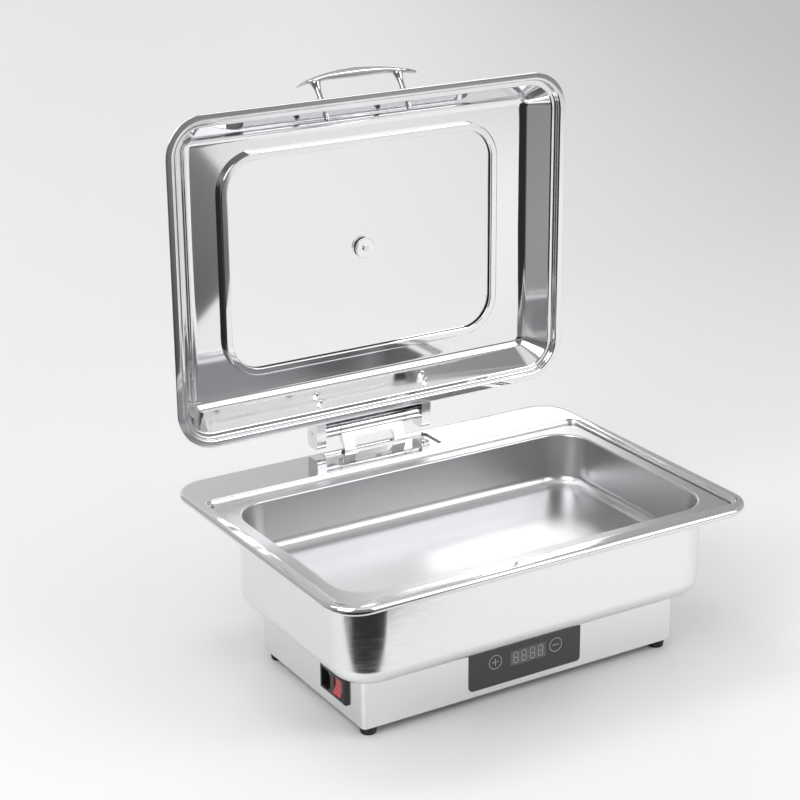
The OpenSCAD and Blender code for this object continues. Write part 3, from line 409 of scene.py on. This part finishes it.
def water_pan():
    top, sheet = RIM["top"], RIM["sheet"]
    ledge = PAN["top"] - PAN["lip"]
    mid = (top + PAN["top"])/2
    step_r = PAN["flange_r"] + RIM["gap"]
    roll = RIM["roll"]/2
    rim_y = (RIM["front"] + RIM["back"])/2
    edge = pressed_round("rim", arc(RIM["radius"] - roll, top - roll, roll, -150, 90, 20)
                         + [(RIM["radius"] - RIM["roll"], top)],
                         RIM["length"], RIM["back"] - RIM["front"], RIM["radius"])
    shift(edge, at(0, rim_y, 0))
    outer = step_r + RIM["step"]
    steps = pressed_round("steps", [(outer + LAP, top)] + arc(outer + EASE, top - EASE, EASE, 90, 180, 4)
                          + arc(outer - EASE, mid + EASE, EASE, 0, -90, 4)
                          + arc(step_r + EASE, mid - EASE, EASE, 90, 180, 4)
                          + [(step_r, ledge), (step_r - LAP, ledge)],
                          PAN["length"] + 2*RIM["gap"], PAN["width"] + 2*RIM["gap"], step_r)
    inner = TANK["radius"] - sheet
    centre = TANK["radius"] - TANK["floor_r"]
    tank = pressed_round("tank", [(inner + BEND + LAP, ledge)]
                         + arc(inner + BEND, ledge - BEND, BEND, 90, 180)
                         + arc(centre, TANK["floor"] + TANK["floor_r"], TANK["floor_r"] - sheet, 0, -90, 12)
                         + [(centre - LAP, TANK["floor"] + sheet)],
                         TANK["length"], TANK["width"], TANK["radius"])
    for piece in (steps, tank):
        shift(piece, at(0, PAN["y"], 0))
    wall = POCKET["radius"]
    pocket = pressed_round("pocket", arc(wall + EASE, top - EASE, EASE, 90, 180, 4)
                           + [(wall, POCKET["floor"]), (wall - EASE, POCKET["floor"])],
                           POCKET["length"], POCKET["back"] - POCKET["front"], wall)
    shift(pocket, at(0, (POCKET["front"] + POCKET["back"])/2, 0))
    pan = joined("water_pan_sheet", [edge, steps, tank, pocket])
    for level in (top, ledge, TANK["floor"] + sheet, POCKET["floor"]):
        fill_level(pan, level)
    thicken(pan, sheet, up=False)
    # Where the flat runs out at the rim's corners, its underside is put back below it
    edit(pan)
    pick(pan, "VERT", lambda v: v.co.z > (top + sheet/2)*MM)
    bpy.ops.transform.translate(value=at(0, 0, -2*sheet))
    leave()
    smooth(pan)
    dress(pan, "base", rim_steel, "mirror_steel", "water_pan")
    # The tank below the ledge is brushed
    pan.data.materials.append(base_steel)
    pan.active_material_index = 1
    edit(pan)
    pick(pan, "FACE", lambda f: f.calc_center_median().z < (ledge - 2*sheet)*MM)
    bpy.ops.object.material_slot_assign()
    leave()


# Food pan: flange with a turned-down edge, drawn bowl

def food_pan():
    top, sheet = PAN["top"], PAN["sheet"]
    floor = top - PAN["depth"]
    lip_r, bend = PAN["flange_r"], PAN["lip_bend"]
    flange = pressed_round("flange", [(lip_r, top - PAN["lip"])]
                           + arc(lip_r - bend, top - bend, bend, 0, 90, 6)
                           + [(lip_r - bend - EASE, top)], PAN["length"], PAN["width"], lip_r)
    mouth, low = PAN["mouth_r"], PAN["mouth_r"] - PAN["draft"] - PAN["floor_r"]
    lean = math.degrees(math.atan(PAN["draft"]/(PAN["depth"] - PAN["floor_r"] - BEND)))
    bowl = pressed_round("bowl", [(mouth + BEND + LAP, top)]
                         + arc(mouth + BEND, top - BEND, BEND, 90, 180 - lean, 8)
                         + arc(low, floor + PAN["floor_r"], PAN["floor_r"], -lean, -90, 12)
                         + [(low - LAP, floor)],
                         PAN["length"] - 2*PAN["flange"], PAN["width"] - 2*PAN["flange"], mouth)
    pan = joined("food_pan_sheet", [flange, bowl])
    for level in (top, floor):
        fill_level(pan, level)
    thicken(pan, sheet, up=False)
    shift(pan, at(0, PAN["y"], 0))
    smooth(pan)
    dress(pan, "food_pan", satin_steel, "satin_steel", "food_pan")


# Lid: hemmed flange, raised step, leaning wall and a flat top with the window in it

def lid_section():
    """Inside of the lid's section, from the hem in and up, and the middle of its wall's outside."""
    r, lean, sheet = LID["radius"], math.radians(LID["lean"]), LID["sheet"]
    inside = LID["height"] - sheet
    step_x = r - LID["flange"]
    wall_x = step_x - LID["step_w"] + BEND
    rise = inside - LID["step"] - (LID["shoulder_r"] + BEND)*(1 - math.sin(lean))
    shoulder = wall_x - (BEND + LID["shoulder_r"])*math.cos(lean) - rise*math.tan(lean)
    path = ([(r - LID["hem"], 2*sheet), (r - sheet, 2*sheet)] + arc(r - sheet, sheet, sheet, 90, -90, 6)
            + arc(step_x + BEND, BEND, BEND, -90, -180)
            + arc(step_x - BEND, LID["step"] - BEND, BEND, 0, 90)
            + arc(wall_x, LID["step"] + BEND, BEND, -90, LID["lean"] - 180)
            + arc(shoulder, inside - LID["shoulder_r"], LID["shoulder_r"], LID["lean"], 90, 14)
            + [(shoulder - LAP, inside)])
    wall_u = r - wall_x + BEND*math.cos(lean) + rise/2*math.tan(lean) - sheet*math.cos(lean)
    wall_v = LID["step"] + BEND*(1 - math.sin(lean)) + rise/2 + sheet*math.sin(lean)
    return path, wall_u, wall_v


LID_PATH, WALL_U, WALL_V = lid_section()
LID_MID_Y = LID["front"] + LID["width"]/2
# Frame on the outside of the lid's front wall, with +Z straight out of it
FRONT_WALL = (OPEN @ Matrix.Translation(at(0, LID["front"] + WALL_U, LID["plane"] + WALL_V))
              @ Matrix.Rotation(math.radians(90 - LID["lean"]), 4, "X"))
# Frame at the middle of the window, with +Z up through the closed lid
WINDOW_MID = OPEN @ Matrix.Translation(at(0, LID_MID_Y - WINDOW["shift"], LID["plane"]))


def window_edge(place):
    """Whether a point is on the free edge of the window in the lid's sheet."""
    x, y = abs(place.x), abs(place.y + WINDOW["shift"]*MM)
    half_l, half_w, r = WINDOW["length"]/2*MM, WINDOW["width"]/2*MM, WINDOW["radius"]*MM
    dx, dy = max(x - half_l + r, 0), max(y - half_w + r, 0)
    if dx and dy:
        return near(math.hypot(dx, dy), r)
    return near(x, half_l) or near(y, half_w)


def lid():
    inside = LID["height"] - LID["sheet"]
    shell = pressed_round("shell", LID_PATH, LID["length"], LID["width"], LID["radius"])
    hole = pressed_round("hole", [(WINDOW["radius"] + EASE, inside), (WINDOW["radius"], inside)],
                         WINDOW["length"], WINDOW["width"], WINDOW["radius"])
    shift(hole, at(0, -WINDOW["shift"], 0))
    whole = joined("lid_sheet", [shell, hole])
    edit(whole)
    pick(whole, "EDGE", lambda e: e.is_boundary and all(
        near(v.co.z, inside*MM) and not window_edge(v.co) for v in e.verts))
    bpy.ops.mesh.fill(use_beauty=True)
    leave()
    thicken(whole, LID["sheet"], up=True)
    shift(whole, at(0, LID_MID_Y, LID["plane"]))
    put(whole, OPEN)
    smooth(whole)
    dress(whole, "lid", mirror_steel, "mirror_steel", "lid_shell")


# Height of the glass's lower face in the closed lid
GLASS_FACE = LID["height"] - LID["sheet"] - WINDOW["gasket"] - WINDOW["glass"]


def window_ring():
    """Rolled ring that carries the glass: round outside, flat face, round lip towards the glass."""
    inside = LID["height"] - LID["sheet"]
    sheet, bend, lip = RING["sheet"], RING["round"], RING["sheet"]/2
    face = GLASS_FACE - sheet
    wide = WINDOW["glass_edge"] + RING["fit"] + RING["wall"]
    r = WINDOW["radius"] + wide
    inner_r = r - RING["wall"]
    path = ([(r, inside)] + arc(r - bend, face + bend, bend, 0, -90, 6)
            + arc(r - wide + lip, face + lip, lip, -90, -180, 6)
            + [(r - wide, face + sheet), (inner_r, face + sheet), (inner_r, inside)])
    ring = pressed_round("window_ring_formed", path, WINDOW["length"] + 2*wide, WINDOW["width"] + 2*wide, r,
                         closed=True)
    recalculate(ring)
    put(ring, WINDOW_MID)
    smooth(ring)
    dress(ring, "lid", mirror_steel, "satin_steel", "window_ring")


# Handle: a bowed grip that flares into a leaf at each end, on two waisted posts

# Grip from its middle to a tip: share of the half length, drop of its top, depth and thickness
GRIP = [(0, 0, 14, 12), (0.25, 0.8, 13, 11), (0.5, 3, 11, 8.6), (0.68, 6, 10.5, 8), (0.8, 8.6, 7, 5.4),
        (0.88, 10.6, 12, 4), (0.95, 13, 9, 3), (1.01, 16, 1.5, 1)]


def grip_station(share):
    """Rise, half depth and half thickness of the grip at a share of its half length."""
    s = abs(share)
    low, high = next((a, b) for a, b in zip(GRIP, GRIP[1:]) if s < b[0])
    part = (s - low[0])/(high[0] - low[0])
    drop, depth, thick = (a + (b - a)*part for a, b in zip(low[1:], high[1:]))
    return HANDLE["height"] + HANDLE["thickness"]/2 - drop - thick/2, depth/2, thick/2


GRIP_STATIONS = 40


def handle():
    grip = start("grip", bpy.ops.mesh.primitive_circle_add, vertices=16, radius=MM, fill_type="NGON",
                 rotation=(0, math.pi/2, 0))
    before = Vector((0, 0, 0))
    size = (1.0, 1.0)
    for i in range(GRIP_STATIONS + 1):
        share = 2*i/GRIP_STATIONS - 1
        rise, depth, thick = grip_station(share)
        here = at(share*HANDLE["length"]/2, 0, rise)
        if i:
            push(here - before)
        else:
            bpy.ops.transform.translate(value=here)
        bpy.ops.transform.resize(value=(1, depth/size[0], thick/size[1]), center_override=here)
        before, size = here, (depth, thick)
    leave()
    posts = [post(side*HANDLE["post_pitch"]/2) for side in (-1, 1)]
    whole = joined("handle_cast", [grip, *posts])
    recalculate(whole)
    put(whole, FRONT_WALL)
    modify(whole, "SUBSURF", levels=1, render_levels=1)
    smooth(whole, 60)
    dress(whole, "lid", shade_darkened_handle_steel, "mirror_steel", "handle")


def post(x):
    """Waisted post with a round foot, from its stud in the wall up into the grip."""
    top = grip_station(x*2/HANDLE["length"])[0]
    return drawn_up("post", [(-4.2, 2.5), (0, 2.5), (0.01, 8), (1.5, 8), (3, 6.8), (8, 4.8), (15, 3.7),
                             (top - 16, 3.4), (top - 10, 4.4), (top - 5, 6.2), (top - 1, 7.2)], 20, x)


# Panel with its printed keys and the display

# How far the printing stands proud, and how deep its plates go
PRINT = 0.04
PRINT_DEPTH = 0.3


def tile(name, x, z, length, height, radius, proud=PRINT, depth=PRINT_DEPTH):
    """A rounded plate facing the front, its face that far proud of the panel."""
    piece = start(name, bpy.ops.mesh.primitive_plane_add, scale=(length, height, 1), size=MM,
                  rotation=(math.pi/2, 0, 0), location=at(x, PANEL["face_y"] + depth - proud, z))
    bpy.ops.mesh.bevel(offset=radius*MM, segments=8, affect="VERTICES")
    push(at(0, -depth, 0))
    leave()
    recalculate(piece)
    return piece


def key_ring(x):
    """A thin printed ring round a key."""
    piece = start("ring", bpy.ops.mesh.primitive_circle_add, vertices=40, radius=KEY["ring"]*MM,
                  fill_type="NGON", rotation=(math.pi/2, 0, 0), location=at(x, PANEL["face_y"], KEY["z"]))
    bpy.ops.mesh.inset(thickness=KEY["line"]*MM, depth=0)
    bpy.ops.mesh.delete(type="FACE")
    bpy.ops.mesh.select_all(action="SELECT")
    push(at(0, -PRINT, 0))
    leave()
    recalculate(piece)
    return piece


# Strokes of a figure eight: middle and whether it stands upright, in shares of the digit's half size
STROKES = [(0, 1, False), (0, 0, False), (0, -1, False), (-1, 0.5, True), (1, 0.5, True), (-1, -0.5, True),
           (1, -0.5, True)]


def control_panel():
    face = tile("panel_plate", 0, PANEL["z"], PANEL["length"], PANEL["height"], PANEL["radius"], 0,
                PANEL["sheet"])
    modify(face, "BEVEL", width=0.35*MM, segments=2, limit_method="ANGLE", angle_limit=math.radians(60))
    smooth(face)
    dress(face, "base", panel_black, "black_gloss", "control_panel")
    screen = tile("display_screen", DISPLAY["x"], DISPLAY["z"], DISPLAY["length"], DISPLAY["height"],
                  DISPLAY["radius"])
    dress(screen, "base", display_grey, "black_plastic")
    marks = []
    wide, high, stroke = DIGIT["width"], DIGIT["height"], DIGIT["stroke"]
    for i in range(DIGIT["count"]):
        x = DISPLAY["x"] + (i - (DIGIT["count"] - 1)/2)*DIGIT["pitch"]
        for sx, sz, upright in STROKES:
            size = (stroke, high/2 - stroke) if upright else (wide - stroke, stroke)
            marks.append(tile("stroke", x + sx*wide/2, DISPLAY["z"] + sz*high/2, *size, 0.3, 2*PRINT))
    for side in (-1, 1):
        x = side*KEY["pitch"]/2
        marks.append(key_ring(x))
        marks.append(tile("bar", x, KEY["z"], KEY["bar"], KEY["stroke"], 0.4))
        if side < 0:
            marks.append(tile("upright", x, KEY["z"], KEY["stroke"], KEY["bar"], 0.4))
    dress(joined("panel_marks", marks), "base", mark_grey, "black_gloss")


# Washer and cap at the middle of the glass

def turned(name, rings, look, node):
    """A turned piece at the middle of the window."""
    piece = drawn_up(name, rings, 48)
    recalculate(piece)
    put(piece, WINDOW_MID)
    smooth(piece)
    dress(piece, "lid", look, "bright_fasteners", node)


def glass_button():
    inner = GLASS_FACE
    turned("glass_washer_turned", [
        (inner, 12), (inner - 0.2, 12.9), (inner - 2.2, 13), (inner - 2.8, 12.7), (inner - 3, 12.2),
        (inner - 3, 5)], rim_steel, "glass_washer")
    outer = inner + WINDOW["glass"] + WINDOW["seal"]
    turned("glass_cap_turned", [
        (outer, 12.6), (outer + 0.3, 13), (outer + 5.5, 13), (outer + 6.8, 12.4), (outer + 8.3, 10.4),
        (outer + 9, 8.6), (outer + 9, 3)], mirror_steel, "glass_cap")


water_pan()
food_pan()
lid()
window_ring()
handle()
control_panel()
glass_button()

# Machined and bought pieces that need only their edges eased
EASED = [
    ("base_housing", "base", base_steel, "mirror_steel", 0.5),
    ("bottom_plate", "base", plain_steel, "satin_steel", 0.2),
    ("rubber_feet", "base", foot_rubber, "black_rubber", 0.6),
    ("power_inlet", "base", moulded_black, "black_plastic", 0.5),
    ("inlet_pins", "base", brass, "brass_contacts", 0.3),
    ("rocker_switch", "rocker", rocker_red, "red_plastic", 0.5),
    ("hinge_base", "base", bracket_steel, "satin_steel", 0.6),
    ("hinge_backing", "base", plain_steel, "satin_steel", 0.4),
    ("hinge_screws", "base", fastener_steel, "bright_fasteners", 0.4),
    ("hinge_nuts", "base", fastener_steel, "bright_fasteners", 0.3),
    ("bottom_screws", "base", fastener_steel, "bright_fasteners", 0.4),
    ("foot_screws", "base", fastener_steel, "bright_fasteners", 0.4),
    ("power_screws", "base", fastener_steel, "bright_fasteners", 0.4),
    ("hinge_pin", "lid", bracket_steel, "satin_steel", 0.4),
    ("hinge_sleeves", "lid", bracket_steel, "satin_steel", 0.5),
    ("hinge_bracket", "lid", bracket_steel, "satin_steel", 0.6),
    ("bracket_screws", "lid", fastener_steel, "bright_fasteners", 0.4),
    ("bracket_nuts", "lid", fastener_steel, "bright_fasteners", 0.3),
    ("handle_nuts", "lid", fastener_steel, "bright_fasteners", 0.3),
    ("glass_screw", "lid", fastener_steel, "bright_fasteners", 0.4),
]
for node, body, look, slot, edge in EASED:
    dress(eased(node, edge), body, look, slot, node)

# Pieces that stay as the part has them
LOOKS = {
    board_green: ["control_board", "power_board"],
    display_grey: ["display_module"],
    brass: ["touch_springs"],
    fastener_steel: ["foot_nuts", "board_posts", "board_screws", "power_standoffs", "pan_studs", "pan_nuts",
                     "strap_screws", "shield_screws", "temperature_probe"],
    relay_blue: ["relay"],
    winding_tape: ["transformer"],
    moulded_black: ["capacitor"],
    insulator_white: ["terminal_block", "thermostat", "shield_spacers"],
    cast_aluminium: ["heater_plate"],
    element_steel: ["heating_element"],
    plain_steel: ["element_straps", "heat_shield"],
    foot_rubber: ["window_gasket", "cap_seal"],
    window_clear: ["window_glass"],
}
for look, nodes in LOOKS.items():
    for node in nodes:
        frame["nodes"][node].data.materials.clear()
        frame["nodes"][node].data.materials.append(look)


# Stage: pale table top that sweeps up into a backdrop, soft lamps and a camera at the photo's angle

BACK_WALL = {"y": 2600, "height": 4000, "curve": 1300}
FLOOR_REACH = 100000


def sweep(name, corners):
    """Level floor whose back edge curves up into a wall."""
    points = [at(x, y, 0) for x, y in corners]
    made = begin_at(name, points[0])
    draw_on(points)
    bpy.ops.mesh.select_all(action="SELECT")
    bpy.ops.mesh.edge_face_add()
    bpy.ops.mesh.normals_make_consistent(inside=False)
    rear = (BACK_WALL["y"] - 100)*MM
    pick(made, "EDGE", lambda e: all(v.co.y > rear for v in e.verts))
    push(at(0, 0, BACK_WALL["height"]))
    pick(made, "EDGE", lambda e: all(v.co.y > rear and near(v.co.z, 0) for v in e.verts))
    bpy.ops.mesh.bevel(offset=BACK_WALL["curve"]*MM, segments=20)
    leave()
    activate(made)
    bpy.ops.object.shade_smooth()
    return made


def stage():
    """Pale table whose near left side is cut off, and a wide floor that only the eye and the glass see."""
    rear, reach = BACK_WALL["y"], FLOOR_REACH
    pale = finish("pale table", (0.86, 0.86, 0.86), 0.5)
    table = sweep("table", [(4400, rear), (-750, rear), (-750, 0), (90, -530), (90, -640), (700, -1350),
                            (1000, -2400), (4400, -2400)])
    floor = sweep("floor", [(reach, rear), (-reach, rear), (-reach, -reach), (reach, -reach)])
    shift(floor, at(0, 0.05, -0.05))
    floor.visible_glossy = floor.visible_diffuse = floor.visible_shadow = False
    for piece in (table, floor):
        piece.data.materials.append(pale)


def lamp(name, place, aim, width, height, power):
    """A soft lamp at a place, turned to what it lights, in metres and watts."""
    bpy.ops.object.light_add(type="AREA", location=place)
    made = bpy.context.object
    made.name = name
    made.data.shape = "RECTANGLE"
    made.data.size, made.data.size_y = width, height
    made.data.energy = power
    made.rotation_euler = (Vector(aim) - Vector(place)).to_track_quat("-Z", "Y").to_euler()


def world():
    """Soft room: bright overhead, behind and to the right, darker in front and to the left."""
    made = bpy.data.worlds.new("room")
    bpy.context.scene.world = made
    made.use_nodes = True
    tree = made.node_tree
    place = tree.nodes.new("ShaderNodeTexCoord")
    mapping = tree.nodes.new("ShaderNodeMapping")
    blend = tree.nodes.new("ShaderNodeTexGradient")
    ramp = tree.nodes.new("ShaderNodeValToRGB")
    mapping.inputs["Rotation"].default_value = (0, math.radians(69.5), math.radians(-44.4))
    mapping.inputs["Scale"].default_value = (0.5, 0.5, 0.5)
    mapping.inputs["Location"].default_value = (0.5, 0, 0)
    ends = ramp.color_ramp.elements
    ends[0].position, ends[1].position = 0.12, 0.7
    ends[0].color = (0.06, 0.06, 0.06, 1)
    ends[1].color = (1, 1, 1, 1)
    for position, grey in ((0.205, 0.75), (0.28, 0.3), (0.42, 0.5)):
        ends.new(position).color = (grey, grey, grey, 1)
    tree.links.new(place.outputs["Generated"], mapping.inputs["Vector"])
    tree.links.new(mapping.outputs["Vector"], blend.inputs["Vector"])
    tree.links.new(blend.outputs["Fac"], ramp.inputs["Fac"])
    room = tree.nodes["Background"]
    tree.links.new(ramp.outputs["Color"], room.inputs["Color"])
    room.inputs["Strength"].default_value = 0.5
    # Past the floor the eye sees a plain pale wall
    wall = tree.nodes.new("ShaderNodeBackground")
    wall.inputs["Color"].default_value = (0.8, 0.8, 0.8, 1)
    seen = tree.nodes.new("ShaderNodeLightPath")
    either = tree.nodes.new("ShaderNodeMixShader")
    tree.links.new(seen.outputs["Is Camera Ray"], either.inputs[0])
    tree.links.new(room.outputs["Background"], either.inputs[1])
    tree.links.new(wall.outputs["Background"], either.inputs[2])
    tree.links.new(either.outputs["Shader"], tree.nodes["World Output"].inputs["Surface"])


def camera():
    """Camera fitted to the edges of the dish in the photo."""
    turn, height, roll = (math.radians(a) for a in (-31.07, 19.88, -0.43))
    distance, target = 2.37034, Vector((-0.06314, 0.05199, 0.3221))
    focal_px, picture_px = 2023.31, 800
    back = Vector((math.sin(turn)*math.cos(height), -math.cos(turn)*math.cos(height), math.sin(height)))
    right = Vector((math.cos(turn), math.sin(turn), 0))
    up = back.cross(right)
    tilted_right = right*math.cos(roll) + up*math.sin(roll)
    tilted_up = back.cross(tilted_right)
    data = bpy.data.cameras.new("camera")
    made = bpy.data.objects.new("camera", data)
    bpy.context.scene.collection.objects.link(made)
    data.lens = focal_px/picture_px*data.sensor_width
    place = target + back*distance
    made.matrix_world = Matrix((
        (tilted_right.x, tilted_up.x, back.x, place.x),
        (tilted_right.y, tilted_up.y, back.y, place.y),
        (tilted_right.z, tilted_up.z, back.z, place.z),
        (0, 0, 0, 1)))
    bpy.context.scene.camera = made


stage()
world()
lamp("key", (-1.9, -0.8, 2.1), (-0.1, 0.2, 0.2), 1.6, 1.6, 30)
lamp("over", (0.2, 0.2, 3.6), (0, 0, 0.2), 4.0, 3.0, 14)
lamp("front", (1.1, -1.5, 1.6), (0.9, -1.1, 0), 1.2, 1.2, 14)
lamp("fill", (2.3, -2.5, 1.6), (0, 0, 0.3), 2.8, 2.0, 20)
lamp("glint", (1.45, 2.1, 1.25), (0, 0.1, 0.2), 0.5, 0.4, 2.4)
lamp("backdrop", (-0.9, 0.8, 2.6), (-0.1, 2.2, 0.2), 2.0, 0.8, 22)
camera()
bpy.context.scene.view_settings.view_transform = "Standard"
